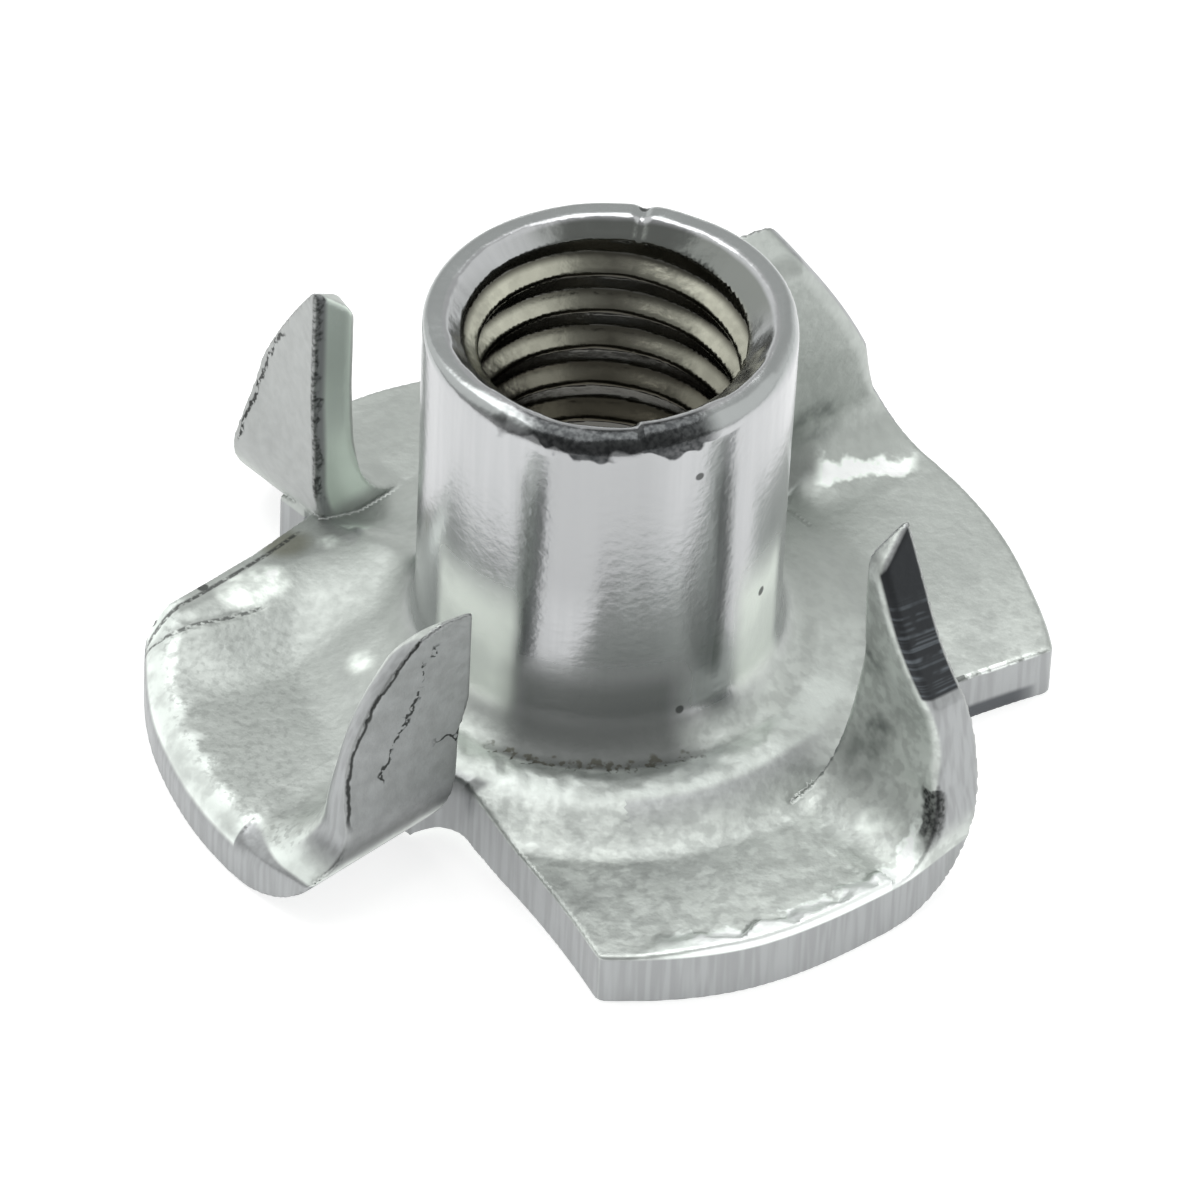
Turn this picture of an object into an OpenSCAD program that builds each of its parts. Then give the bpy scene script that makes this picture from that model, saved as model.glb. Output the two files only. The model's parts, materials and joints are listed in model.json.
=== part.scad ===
// Pronged tee nut: a barrel drawn up from a round sheet-metal flange, tapped through,
// with the flange slit and folded into upright prongs that bite into timber.
// Millimetres. Origin on the barrel's axis in the plane the flange seats on, +Z along the barrel.

/* [Barrel] */
// Outside diameter of the barrel
barrel_d = 7.7; // [7.2:0.1:8.2]
// Height from the seat of the flange to the rim of the barrel
overall_h = 10.2; // [9:0.1:14]
// Rounding of the rim's outer edge
rim_round = 0.3; // [0.1:0.05:0.4]
// Concave fillet between the barrel and the flange
root_fillet = 0.9; // [0.5:0.1:1.2]

/* [Thread] */
// Minor diameter of the thread, which is the plain wall of the bore
thread_minor_d = 5.4; // [5:0.05:5.6]
// Diameter of the countersink where it opens on the rim
countersink_d = 6.8; // [6.4:0.05:7]
// Radius of the drawn entry at the bottom of the bore
entry_r = 1.2; // [0.6:0.1:1.4]

/* [Flange] */
// Diameter of the flange
flange_d = 19; // [18.4:0.1:20]
// Thickness of the sheet
sheet_t = 1.3; // [1:0.05:1.5]
// Lift of the sheet around the barrel, above the flat lobes
dish_rise = 0.6; // [0.2:0.05:0.8]
// Diameter at which the raised dish comes down to the flat lobes
dish_d = 12.2; // [11.4:0.1:12.2]

/* [Prongs] */
// Number of prongs
prong_count = 4; // [3:1:4]
// Turn of the first prong's plane about the axis, in degrees
prong_turn = 42; // [0:1:89]
// Distance from the axis to the plane of a prong's outer face
prong_offset = 2.6; // [2.2:0.05:3]
// Distance along that plane to the prong's upright inner edge
prong_inner = 6.15; // [6.1:0.05:6.6]
// Thickness of a prong, a little less than the sheet's
prong_t = 1.1; // [0.8:0.05:1.3]
// Height of the prong tips above the seat
prong_h = 7.4; // [6:0.1:8.5]
// Width of a prong's blunt tip
tip_w = 0.4; // [0.1:0.05:0.8]
// Radius of a prong's curved outer edge
prong_edge_r = 20; // [14:1:60]
// Outside radius of the fold at the foot of a prong
fold_r = 2.7; // [2.3:0.05:3]

/* [Notches] */
// Distance along the prong's plane to the root of the notch beside it
notch_root = 5.2; // [5.15:0.05:5.6]
// Lean of the notch's sheared edge from square to the fold, in degrees
notch_lean = 10; // [4:1:14]
// Radius of the notch's rounded root
notch_r = 1.1; // [0.8:0.05:1.2]
// How far the sheared edge runs past the prong's outer face to the root
notch_reach = 0.9; // [0.5:0.05:1.1]

/* [Hidden] */
$fn = 96;
// Overlap that joins two solids, and the excess of a cutter past what it cuts
lap = 0.4;
excess = 1;
// The notch's straight edge crosses its round root just inside the widest point
root_ease = 0.96;
barrel_r = barrel_d / 2;
flange_r = flange_d / 2;
bore_r = thread_minor_d / 2;
sink_r = countersink_d / 2;
sink_depth = sink_r - bore_r;
dish_r = dish_d / 2;
crest_r = barrel_r + root_fillet;
crest_z = sheet_t + dish_rise;
entry_top = dish_rise + entry_r;
// The fold turns about this line, beside the flat lobe
fold_start = prong_offset - fold_r;
fold_inner_r = fold_r - (sheet_t + prong_t) / 2;
// Start of a prong's curved edge, just outside the rim near the top of the fold
foot_s = sqrt(pow(flange_r, 2) - pow(prong_offset - prong_t - lap, 2));
foot_z = 0.9 * fold_r;
tip_s = prong_inner + tip_w;
rim_reach = flange_r + excess;
zinc = [0.76, 0.78, 0.77];

// Square with a concave quarter circle taken out of the corner that faces +X +Y.
module cove(x, y, r) {
    difference() {
        translate([x, y]) square(r);
        translate([x + r, y + r]) circle(r);
    }
}

// Half section of the flange and barrel before slitting and trimming, radius along X.
module body_section() {
    difference() {
        union() {
            polygon([
                [bore_r, dish_rise], [crest_r, dish_rise], [dish_r, 0], [rim_reach, 0],
                [rim_reach, sheet_t], [dish_r, sheet_t], [crest_r, crest_z], [bore_r, crest_z]
            ]);
            translate([bore_r, dish_rise]) square([barrel_r - bore_r, overall_h - dish_rise]);
            cove(barrel_r, crest_z, root_fillet);
        }
        rim_corner();
        countersink();
        entry();
    }
}

// What rounding takes off the rim's outer corner.
module rim_corner() {
    difference() {
        translate([barrel_r - rim_round, overall_h - rim_round]) square(rim_round + excess);
        translate([barrel_r - rim_round, overall_h - rim_round]) circle(rim_round);
    }
}

// Countersink at the rim, at 45 degrees.
module countersink() {
    polygon([
        [bore_r, overall_h - sink_depth],
        [sink_r + excess, overall_h + excess],
        [bore_r, overall_h + excess]
    ]);
}

// What the drawn entry takes off the bottom of the bore.
module entry() {
    difference() {
        translate([bore_r - excess, dish_rise - excess]) square([entry_r + excess, entry_r + excess]);
        translate([bore_r + entry_r, entry_top]) circle(entry_r);
    }
}

// Plan of one notch, in a prong's frame: X along the prong's plane, Y square to it.
// It takes away the sheared wedge and the sheet that was folded up.
module notch_plan() {
    edge = [sin(notch_lean), cos(notch_lean)];
    side = [cos(notch_lean), -sin(notch_lean)];
    root = [notch_root, prong_offset] - notch_reach * edge;
    centre = root + notch_r * side;
    start = centre - root_ease * notch_r * side;
    far = start + 2 * flange_r * edge;
    polygon([
        centre, start, far, [far.x + 2 * rim_reach, far.y], [far.x + 2 * rim_reach, fold_start],
        [prong_inner, fold_start], [prong_inner, centre.y]
    ]);
    translate(centre) circle(notch_r);
}

// Section across the fold: X square to the prong's plane, Y up.
module fold_section() {
    inner_x = prong_offset - prong_t;
    difference() {
        translate([fold_start - lap, 0]) square([fold_r + lap, prong_h]);
        difference() {
            translate([fold_start, -excess]) square([fold_r + excess, fold_r + excess]);
            translate([fold_start, fold_r]) circle(fold_r);
        }
        difference() {
            translate([fold_start - lap - excess, sheet_t])
                square([inner_x - fold_start + lap + excess, prong_h]);
            difference() {
                translate([inner_x - fold_inner_r, sheet_t]) square(fold_inner_r);
                translate([inner_x - fold_inner_r, sheet_t + fold_inner_r]) circle(fold_inner_r);
            }
        }
    }
}

// Outline of a prong seen square to its plane: X along the plane, Y up.
module prong_outline() {
    foot = [foot_s, foot_z];
    tip = [tip_s, prong_h];
    chord = tip - foot;
    out = [chord.y, -chord.x] / norm(chord);
    centre = (foot + tip) / 2 - out * sqrt(pow(prong_edge_r, 2) - pow(norm(chord) / 2, 2));
    translate([prong_inner, -excess]) square([rim_reach - prong_inner, foot_z + excess]);
    intersection() {
        translate(centre) circle(prong_edge_r, $fn = 4 * $fn);
        translate([prong_inner, foot_z - lap]) square([rim_reach - prong_inner, prong_h - foot_z + lap]);
    }
}

// One prong with its fold, standing along the X axis and not yet trimmed at the rim.
module prong() {
    intersection() {
        translate([prong_inner, 0, 0]) rotate([90, 0, 90])
            linear_extrude(rim_reach - prong_inner) fold_section();
        translate([0, flange_r, 0]) rotate([90, 0, 0])
            linear_extrude(2 * flange_r) prong_outline();
    }
}

module tee_nut() {
    color(zinc) intersection() {
        union() {
            difference() {
                rotate_extrude() body_section();
                for (i = [0 : prong_count - 1])
                    rotate([0, 0, prong_turn + i * 360 / prong_count])
                        translate([0, 0, -excess]) linear_extrude(sheet_t + 2 * excess) notch_plan();
            }
            for (i = [0 : prong_count - 1])
                rotate([0, 0, prong_turn + i * 360 / prong_count]) prong();
        }
        translate([0, 0, -excess]) cylinder(r = flange_r, h = overall_h + 2 * excess);
    }
}

tee_nut();
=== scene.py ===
"""Looks of a pronged tee nut: one piece of zinc-plated sheet steel, drawn, slit, folded and tapped.

The whole nut is one distance field in millimetres, made from the same sizes as the solid: a barrel and
a dished flange, four folded and twisted prongs, and the helical thread in the bore. The field is turned
into one mesh, and procedural node materials give the plating its finish.
"""
import json
import math

import bpy
import numpy as np
from mathutils import Matrix, Vector


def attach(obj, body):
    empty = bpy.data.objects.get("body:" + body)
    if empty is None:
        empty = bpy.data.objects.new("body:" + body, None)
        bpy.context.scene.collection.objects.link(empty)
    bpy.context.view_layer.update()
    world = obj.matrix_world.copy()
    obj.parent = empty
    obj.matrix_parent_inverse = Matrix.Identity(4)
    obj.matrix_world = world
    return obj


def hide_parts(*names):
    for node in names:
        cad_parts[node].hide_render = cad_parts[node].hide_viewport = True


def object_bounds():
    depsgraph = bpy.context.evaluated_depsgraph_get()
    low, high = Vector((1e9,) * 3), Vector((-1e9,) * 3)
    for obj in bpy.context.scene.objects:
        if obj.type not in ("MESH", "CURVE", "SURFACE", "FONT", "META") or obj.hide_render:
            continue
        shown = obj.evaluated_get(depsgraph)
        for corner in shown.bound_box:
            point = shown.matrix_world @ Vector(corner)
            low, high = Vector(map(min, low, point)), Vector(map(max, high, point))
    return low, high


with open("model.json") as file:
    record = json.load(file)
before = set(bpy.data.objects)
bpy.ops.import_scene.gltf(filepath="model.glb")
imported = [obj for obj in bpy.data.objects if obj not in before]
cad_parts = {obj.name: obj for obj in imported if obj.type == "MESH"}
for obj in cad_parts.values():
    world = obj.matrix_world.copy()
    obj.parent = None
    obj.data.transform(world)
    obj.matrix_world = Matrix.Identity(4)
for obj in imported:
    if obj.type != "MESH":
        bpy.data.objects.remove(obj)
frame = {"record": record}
cad_low, cad_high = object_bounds()

MM = 0.001
GRID_STEP = 0.09
TRIANGLES = 190000
NOISE_TABLE = 64
PLATE = tuple(frame["record"]["materials"][0]["base_color"])

# Flange and barrel
FLANGE_R = (cad_high.x - cad_low.x) / MM / 2
TOTAL_H = (cad_high.z - cad_low.z) / MM + 0.03
SHEET_T = 1.3
BARREL_R = 3.84
RIM_ROUND = 0.15
RIM_WORN = 0.34
ROOT_FILLET = 0.9
DISH_RISE = 0.6
DISH_IN = 4.75
DISH_OUT = 6.5
ENTRY_R = 1.2
BACK_DROOP = 0.22

# Rim of the barrel: its lean, the step at its front and the nick at its back, by angle from the front
RIM_LEAN = 0.018
STEP_DEPTH = 0.12
NICK_DEPTH = 0.10
NICK_TURN = 171.0
NICK_HALF = 2.2

# Relief of the sheet: the ridge around the barrel's foot, the front lobe's burr, and the back lobe's flap
RIDGE_R = 4.95
RIDGE_HALF = 0.30
BURR_H = 0.18
FLAP_LIFT = 0.58
FLAP_FALL = 0.22
CREASE_DEPTH = 0.04
CREASE_S, CREASE_Q = 4.9, 4.35

# Thread, M6 x 1
PITCH = 1.0
MINOR_R = 2.70
MAJOR_R = 3.05
SINK_R = 3.39
CREST_FLAT = 0.14
ROOT_FLAT = 0.36
THREAD_START = 0.15

# Folds and prongs, in each prong's own frame: s along the fold, q square to it, z up
FOLD_TURN = 45.0
FOLD_R = 2.7
FOLD_MID_R = FOLD_R - SHEET_T / 2
PRONG_ROOT = 6.3
DRAWN = 0.5

# Notches between a prong and the next lobe, in the prong's frame
NOTCH_S, NOTCH_Q = 5.41, 2.65
NOTCH_SLOPE, NOTCH_BOW = 0.125, 0.023
FLAP_Q = 7.0

# A prong and the notch beside it. In s: inner and foot are its edge beside the barrel, above and at the
# fold, pivot is what it twists about, shift moves its curved edge out, flare widens it at the fold, and
# web is where the folded-up sheet is free of the lobe. Its curved edge stands out by reach at the fold
# and would meet the edge beside the barrel at edge_top; bend is how round it is. In q: outer is its outer
# face, and root_q is the root of the notch, of radius root_r. tip is the height of its top, which bevel
# slopes and tip_round rounds. roll and fold_roll round its inner corners above and at the fold, and sink
# lowers the fold's inner face beside the barrel. start moves the next lobe's sheared edge, and flap is
# how fast that edge spreads to its root.
PRONG = dict(
    inner=6.4, foot=6.3, outer=2.25, thick=1.05, twist=-13.0, twist_z=(1.5, 4.5), pivot=6.3, tip=8.0,
    tip_round=0.15, bevel=0.9, roll=0.35, fold_roll=0.08, reach=3.4, edge_top=8.2, bend=1.63, shift=0.0,
    flare=0.0, web=0.0, root_q=2.6, root_r=0.35, start=0.0, flap=0.0, sink=0.0,
)

# The right, back, left and front lobe, each with its prong. The rim values are how far the rim stands out
# from the round at the lobe's sheared edge, at its middle and at its fold.
LOBES = [
    dict(PRONG, inner=5.8, foot=5.8, tip=7.65, bevel=0.5, shift=-0.1, sink=0.6,
         rim=(0.17, -0.06, -0.08)),
    dict(PRONG, inner=6.4, thick=1.12, tip=7.9, shift=-0.05, roll=0.42, web=7.72, root_q=2.0,
         root_r=0.12, flap=0.27, rim=(0.0, -0.3, -0.12)),
    dict(PRONG, inner=5.65, foot=5.9, outer=2.05, thick=0.75, pivot=6.5, tip=7.1, tip_round=0.4,
         roll=0.55, fold_roll=0.68, reach=2.5, edge_top=7.35, bend=3.0, flare=1.2, web=6.1, root_q=1.8,
         root_r=0.9, start=0.09, rim=(-0.05, 0.08, 0.14)),
    dict(PRONG, inner=6.5, thick=1.0, twist_z=(3.2, 6.5), bevel=0.75, roll=0.3, shift=0.12,
         start=0.08, rim=(0.05, 0.14, 0.0)),
]
BACK, LEFT, FRONT = 1, 2, 3


# ---- distance fields, in millimetres; negative is metal ----

def ramp(x, low, high):
    """0 below low, 1 above high, smooth between them."""
    g = np.clip((x - low) / (high - low), 0.0, 1.0)
    return g * g * (3 - 2 * g)


def soft_max(a, b, k):
    """The larger of a and b, with the change between them blended over k."""
    h = np.clip(0.5 + 0.5 * (a - b) / k, 0.0, 1.0)
    return b + (a - b) * h + k * h * (1 - h)


def round_both(a, b, r):
    """What is inside both a and b, with its corner rounded to radius r."""
    return np.minimum(-r, np.maximum(a, b)) + np.hypot(np.maximum(a + r, 0), np.maximum(b + r, 0))


def round_either(a, b, r):
    """What is inside a or b, with a fillet of radius r between them."""
    return -round_both(-a, -b, r)


def noise(u, v, seed):
    """Smooth random relief from -1 to 1 with features about one unit across."""
    size = NOISE_TABLE
    table = np.random.default_rng(seed).uniform(-1, 1, (size, size)).astype(np.float32)
    iu, iv = np.floor(u).astype(int), np.floor(v).astype(int)
    fu, fv = u - iu, v - iv
    fu, fv = fu * fu * (3 - 2 * fu), fv * fv * (3 - 2 * fv)
    low = table[iu % size, iv % size] * (1 - fu) + table[(iu + 1) % size, iv % size] * fu
    high = table[iu % size, (iv + 1) % size] * (1 - fu) + table[(iu + 1) % size, (iv + 1) % size] * fu
    return low * (1 - fv) + high * fv


def turned(x, y, degrees):
    """x and y in a frame that is turned by so many degrees."""
    c, s = math.cos(math.radians(degrees)), math.sin(math.radians(degrees))
    return c * x + s * y, c * y - s * x


def from_front(x, y):
    """Angle about the axis from the front, in degrees, growing to the right."""
    return np.degrees(np.arctan2(x, -y))


def sheet_relief(x, y):
    """Waviness that pressing leaves in the sheet, and the back lobe's droop, by place in the flat blank."""
    droop = BACK_DROOP * ramp(np.hypot(x, y), 7.0, 9.3) * ramp(y, 4.0, 6.0) * ramp(-x, 0.0, 2.0)
    return 0.022 * noise(x / 1.7, y / 1.7, seed=11) + 0.006 * noise(x / 0.6, y / 0.6, seed=12) - droop


def rim_r(x, y):
    """Radius of the rim, which stands out or in a little along each lobe."""
    turn = (np.degrees(np.arctan2(y, x)) + 10) % 360
    lobe = (turn // 90).astype(int) % 4
    along = (turn % 90 - 8) / 42
    first, middle, last = np.array([one["rim"] for one in LOBES]).T
    a, b = ramp(along, 0, 0.5), ramp(along, 0.5, 1)
    return FLANGE_R + first[lobe] * (1 - a) + middle[lobe] * (a - b) + last[lobe] * b


def start_line(k, q):
    """The s of the sheared edge beside prong k, before its flap."""
    dq = q - NOTCH_Q
    return NOTCH_S + LOBES[k]["start"] + NOTCH_SLOPE * dq + NOTCH_BOW * np.maximum(dq, 0) ** 2


def notch(k, x, y):
    """Plan of the notch beside prong k: the sheared wedge with its round root, and the folded-up sheet."""
    lobe = LOBES[k]
    s, q = turned(x, y, FOLD_TURN + 90 * k)
    edge = start_line(k, q) + lobe["flap"] * (FLAP_Q - q)
    root_s = start_line(k, lobe["root_q"]) + lobe["flap"] * (FLAP_Q - lobe["root_q"]) + lobe["root_r"]
    wedge = np.maximum(edge - s, lobe["root_q"] - q)
    root = np.hypot(s - root_s, q - lobe["root_q"]) - lobe["root_r"]
    folded = np.maximum(lobe["outer"] - FOLD_R - q, q - lobe["root_q"])
    folded = np.maximum(folded, max(lobe["foot"], lobe["web"]) - s)
    return np.minimum(np.minimum(wedge, root), folded)


def dish_z(r):
    """Height of the flange's underside, which is dished around the barrel."""
    return DISH_RISE * (1 - ramp(r, DISH_IN - 0.5, DISH_OUT))


def sheet_top(x, y, r):
    """Height of the flange's top face; at the front the dish keeps its height further out."""
    front_dish = DISH_RISE * (1 - ramp(r, 5.2, DISH_OUT + 0.3))
    share = front_share(x, y)
    return SHEET_T + dish_z(r) * (1 - share) + front_dish * share + sheet_relief(x, y)


def flap_creases(x, y):
    """Depth of the two creases that run along the flap beside the back prong."""
    s, q = turned(x, y, FOLD_TURN + 90 * BACK)
    edge = start_line(BACK, q) + LOBES[BACK]["flap"] * (FLAP_Q - q)
    dq = q - CREASE_Q
    below = CREASE_S + 0.1 * dq + 0.09 * np.maximum(dq, 0) ** 2
    lower = CREASE_DEPTH * np.exp(-((s - below) / 0.10) ** 2) * ramp(q, 4.2, 5.2)
    upper = CREASE_DEPTH * np.exp(-((s - edge + 0.25) / 0.12) ** 2) * ramp(q, 2.0, 3.0)
    return np.maximum(lower, upper)


def flap_relief(x, y):
    """Lift of the flap that shearing spread and raised beside the back prong, with its creases."""
    s, q = turned(x, y, FOLD_TURN + 90 * BACK)
    line = start_line(BACK, q) - 0.3 * ramp(q, 4.0, 7.0)
    here = ramp(q, 0.9, 2.2) * (1 - 0.5 * ramp(q, 6.2, 7.2))
    lift = FLAP_LIFT * ramp(s - line, -2.4, 0.0) - FLAP_FALL * np.maximum(s - line, 0)
    return here * lift - flap_creases(x, y)


def front_share(x, y):
    """1 at the front of the barrel and 0 at its sides and back."""
    return ramp(np.abs(from_front(x, y) - 3), 66, 42)


def ridge_relief(x, y, r):
    """Rough ridge around the front of the barrel's foot."""
    ridge = (0.06 + 0.03 * noise(x / 0.25, y / 0.25, seed=16)) * np.exp(-((r - RIDGE_R) / RIDGE_HALF) ** 2)
    return front_share(x, y) * ridge


def burr_relief(x, y, inside):
    """Burr that shearing turned up along the rim of the front lobe."""
    here = ramp(x, 0.8, 3.0) * ramp(x, 7.6, 6.6) * ramp(-y, 4.5, 5.2)
    wide = 0.52 + 0.22 * noise(x / 0.4, y / 0.4, seed=17)
    return here * BURR_H * ramp(inside, wide, wide - 0.32)


def flange(x, y, z):
    """Round dished sheet with its four notches."""
    r = np.hypot(x, y)
    top = z - sheet_top(x, y, r) - flap_relief(x, y)
    top = top - ridge_relief(x, y, r) - burr_relief(x, y, rim_r(x, y) - r)
    dish = dish_z(r)
    burnished = ramp(-x, 3.0, 6.0) * ramp(1.5 - y, 0, 2)
    disc = round_both(r - rim_r(x, y), top, 0.10 + 0.58 * burnished)
    cut = -notch(0, x, y)
    for k in range(1, len(LOBES)):
        cut = np.maximum(cut, -notch(k, x, y))
    sheared = soft_max(r - rim_r(x, y), cut, 0.15)
    return soft_max(soft_max(np.maximum(sheared, disc), soft_max(cut, top, 0.08), 0.03), dish - z, 0.10)


def thread_r(x, y, z):
    """Radius of the thread's surface: a right-handed helix with 60 degree flanks."""
    turn = np.arctan2(y, x) / (2 * math.pi)
    phase = (z + THREAD_START) / PITCH - turn
    across = np.abs(phase - np.floor(phase) - 0.5) * PITCH
    rise = (across - ROOT_FLAT / 2) / (PITCH / 2 - ROOT_FLAT / 2 - CREST_FLAT / 2)
    return MAJOR_R - (MAJOR_R - MINOR_R) * np.clip(rise, 0, 1)


def rim_z(x, y):
    """Height of the rim, which leans and is uneven, with a step at the front and a nick at the back."""
    turn = from_front(x, y)
    step = ramp(turn, -50, -12) * ramp(turn, 12.5, 10.5)
    nick = np.exp(-((turn - NICK_TURN) / NICK_HALF) ** 2)
    level = TOTAL_H + RIM_LEAN * x - RIM_LEAN * y + 0.02 * noise(x / 0.9, y / 0.9, seed=13)
    return level - STEP_DEPTH * step - NICK_DEPTH * nick


def barrel(x, y, z):
    """Drawn tube with its rim rounded, more on the front than at the back."""
    r = np.hypot(x, y)
    front = ramp(-y + 0.35 * x, -0.6, 2.6)
    rounding = RIM_ROUND + RIM_WORN * front + 0.06 * noise(x / 0.5, y / 0.5, seed=14) * front
    tube = round_both(r - BARREL_R - 0.03 * ramp(z, 6.0, 9.5), z - rim_z(x, y), rounding)
    return np.maximum(tube, DISH_RISE - z)


def bore(x, y, z):
    """What is cut out of the barrel: the thread, the countersink and the drawn entry."""
    r = np.hypot(x, y)
    thread = (r - thread_r(x, y, z)) * 0.87
    sink_r = SINK_R - 0.12 * ramp(-y, 1.0, 3.0) + 0.02 * noise(x / 0.35, y / 0.35, seed=15)
    sink = (r - sink_r + (rim_z(x, y) - z)) * 0.707
    entry = round_either(r - MINOR_R, np.maximum(z - DISH_RISE, r - DISH_IN + 0.5), ENTRY_R)
    return np.minimum(np.minimum(thread, sink), entry)


def prong_frame(k, x, y, z):
    """Place in the untwisted frame of prong k, and how far round the blank the fold has come."""
    lobe = LOBES[k]
    s, q = turned(x, y, FOLD_TURN + 90 * k)
    twist = np.radians(lobe["twist"]) * ramp(z, *lobe["twist_z"])
    middle, fold_line = lobe["outer"] - lobe["thick"] / 2, lobe["outer"] - FOLD_R
    ds, dq = s - lobe["pivot"], q - middle
    s = lobe["pivot"] + ds * np.cos(twist) + dq * np.sin(twist)
    q = middle - ds * np.sin(twist) + dq * np.cos(twist)
    angle = np.arctan2(np.maximum(q - fold_line, 0), np.maximum(FOLD_R - z, 1e-6))
    rise = DRAWN * np.maximum(z - FOLD_R, 0)
    blank_q = np.where(q < fold_line, q, fold_line + FOLD_MID_R * angle + rise)
    return s, q, blank_q


def near_sink(lobe, s, q, z):
    """How far the fold's inner face comes down beside the barrel, where it runs out into the sheet."""
    inside_r = FOLD_R - SHEET_T
    across = np.clip(q - lobe["outer"] + FOLD_R, 0.0, inside_r)
    rise = inside_r - np.sqrt(inside_r ** 2 - across ** 2)
    return np.minimum(rise, lobe["sink"]) * ramp(s - lobe["foot"], 1.5, 0.0) * ramp(z, 3.4, 1.8)


def prong_parts(k, x, y, z):
    """Fields of prong k: outer and inner face, edge beside the barrel, curved edge, tip, foot in the lobe."""
    lobe = LOBES[k]
    s, q, blank_q = prong_frame(k, x, y, z)
    outer = round_both(q - lobe["outer"], -z, FOLD_R)
    thickness = SHEET_T - (SHEET_T - lobe["thick"]) * ramp(z, 1.8, 4.2)
    bx, by = turned(s, blank_q, -(FOLD_TURN + 90 * k))
    rise = sheet_top(bx, by, np.hypot(bx, by)) - SHEET_T
    inner = -outer - thickness - rise + near_sink(lobe, s, q, z)
    near = lobe["foot"] + (lobe["inner"] - lobe["foot"]) * ramp(z, 3.5, 5.0) - s
    height = np.clip((z - 1) / (lobe["edge_top"] - 1), 0, 1)
    reach = lobe["reach"] * (1 - height ** lobe["bend"]) + lobe["flare"] * (1 - ramp(z, 0.3, 2.4))
    curve = s - PRONG_ROOT - lobe["shift"] * ramp(z, 1.5, 3.5) - reach
    edge = np.maximum(np.hypot(s, blank_q) - rim_r(bx, by), curve * 0.85)
    tip = (z - lobe["tip"] + lobe["bevel"] * (lobe["outer"] - q)) / math.hypot(1, lobe["bevel"])
    return outer, inner, near, edge, tip, lobe["outer"] - FOLD_R - 0.3 - q


def prong(k, x, y, z):
    """Prong k with its fold."""
    outer, inner, near, edge, tip, foot = prong_parts(k, x, y, z)
    roll = LOBES[k]["fold_roll"] + (LOBES[k]["roll"] - LOBES[k]["fold_roll"]) * ramp(z, 2.0, 3.5)
    outline = round_both(near, round_both(edge, tip, LOBES[k]["tip_round"]), 0.10)
    rolled = round_both(inner, outline, roll)
    return np.maximum(np.maximum(soft_max(outer, outline, 0.06), rolled), foot)


def nut(x, y, z, prongs=range(len(LOBES))):
    """The whole nut, or its barrel and flange with only some of its prongs."""
    body = round_either(barrel(x, y, z), flange(x, y, z), ROOT_FILLET)
    body = soft_max(body, -bore(x, y, z), 0.05)
    for k in prongs:
        body = np.minimum(body, prong(k, x, y, z))
    return body


# ---- mesh from the field ----

def axis_steps(low, high, step):
    """Evenly spaced places from low to high, about one step apart."""
    return np.linspace(low, high, int(round((high - low) / step)) + 1, dtype=np.float32)


def sample_field(xs, ys, zs):
    """The nut's field on the grid, with each prong worked out only in its own quarter."""
    field = nut(xs[:, None, None], ys[None, :, None], zs[None, None, :], prongs=[]).astype(np.float32)
    for k in range(len(LOBES)):
        angle = math.radians(FOLD_TURN + 90 * k)
        corners = [
            (s * math.cos(angle) - q * math.sin(angle), s * math.sin(angle) + q * math.cos(angle))
            for s in (4.6, 10.2) for q in (-1.4, 3.2)
        ]
        low, high = np.min(corners, 0), np.max(corners, 0)
        i = slice(*np.searchsorted(xs, (low[0], high[0])))
        j = slice(*np.searchsorted(ys, (low[1], high[1])))
        part = prong(k, xs[i, None, None], ys[None, j, None], zs[None, None, :])
        field[i, j] = np.minimum(field[i, j], part)
    return field


def cell_points(field, cells, corners):
    """One point in each cell: the middle of the places where the surface crosses the cell's edges."""
    total = np.zeros((len(cells), 3), np.float32)
    hits = np.zeros(len(cells), np.float32)
    for corner in corners:
        for axis in range(3):
            if corner[axis]:
                continue
            other = list(corner)
            other[axis] = 1
            va = field[tuple((cells + corner).T)]
            vb = field[tuple((cells + other).T)]
            crossed = (va < 0) != (vb < 0)
            t = np.where(crossed, va / np.where(crossed, va - vb, 1), 0)
            place = np.tile(np.array(corner, np.float32), (len(cells), 1))
            place[:, axis] += t
            total += place * crossed[:, None]
            hits += crossed
    return cells + total / hits[:, None]


def axis_quads(inside, index, axis):
    """Quads across the grid's edges along one axis where the surface crosses them, facing outwards."""
    u, v = [a for a in range(3) if a != axis]
    low = [slice(None)] * 3
    high = [slice(None)] * 3
    low[axis], high[axis] = slice(0, -1), slice(1, None)
    edges = np.argwhere(inside[tuple(low)] != inside[tuple(high)])
    edges = edges[(edges[:, u] > 0) & (edges[:, v] > 0)]
    outward = inside[tuple(low)][tuple(edges.T)]
    ring = []
    for du, dv in ((-1, -1), (0, -1), (0, 0), (-1, 0)):
        cell = edges.copy()
        cell[:, u] += du
        cell[:, v] += dv
        ring.append(index[tuple(cell.T)])
    quad = np.stack(ring, 1)
    flip = outward if axis != 1 else ~outward
    quad[~flip] = quad[~flip][:, ::-1]
    return quad


def surface_net(field, axes):
    """Vertices and quads of the field's zero surface: one vertex in each cell that it crosses."""
    inside = field < 0
    corners = [(a, b, c) for a in (0, 1) for b in (0, 1) for c in (0, 1)]
    size = np.array(field.shape) - 1
    count = sum(
        inside[a:a + size[0], b:b + size[1], c:c + size[2]].astype(np.int8) for a, b, c in corners
    )
    cells = np.argwhere((count > 0) & (count < len(corners)))
    index = np.full(size, -1, np.int32)
    index[tuple(cells.T)] = np.arange(len(cells))
    local = cell_points(field, cells, corners)
    points = np.stack([np.interp(local[:, a], np.arange(len(axes[a])), axes[a]) for a in range(3)], 1)
    quads = [axis_quads(inside, index, axis) for axis in range(3)]
    return points, np.concatenate(quads)


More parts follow.
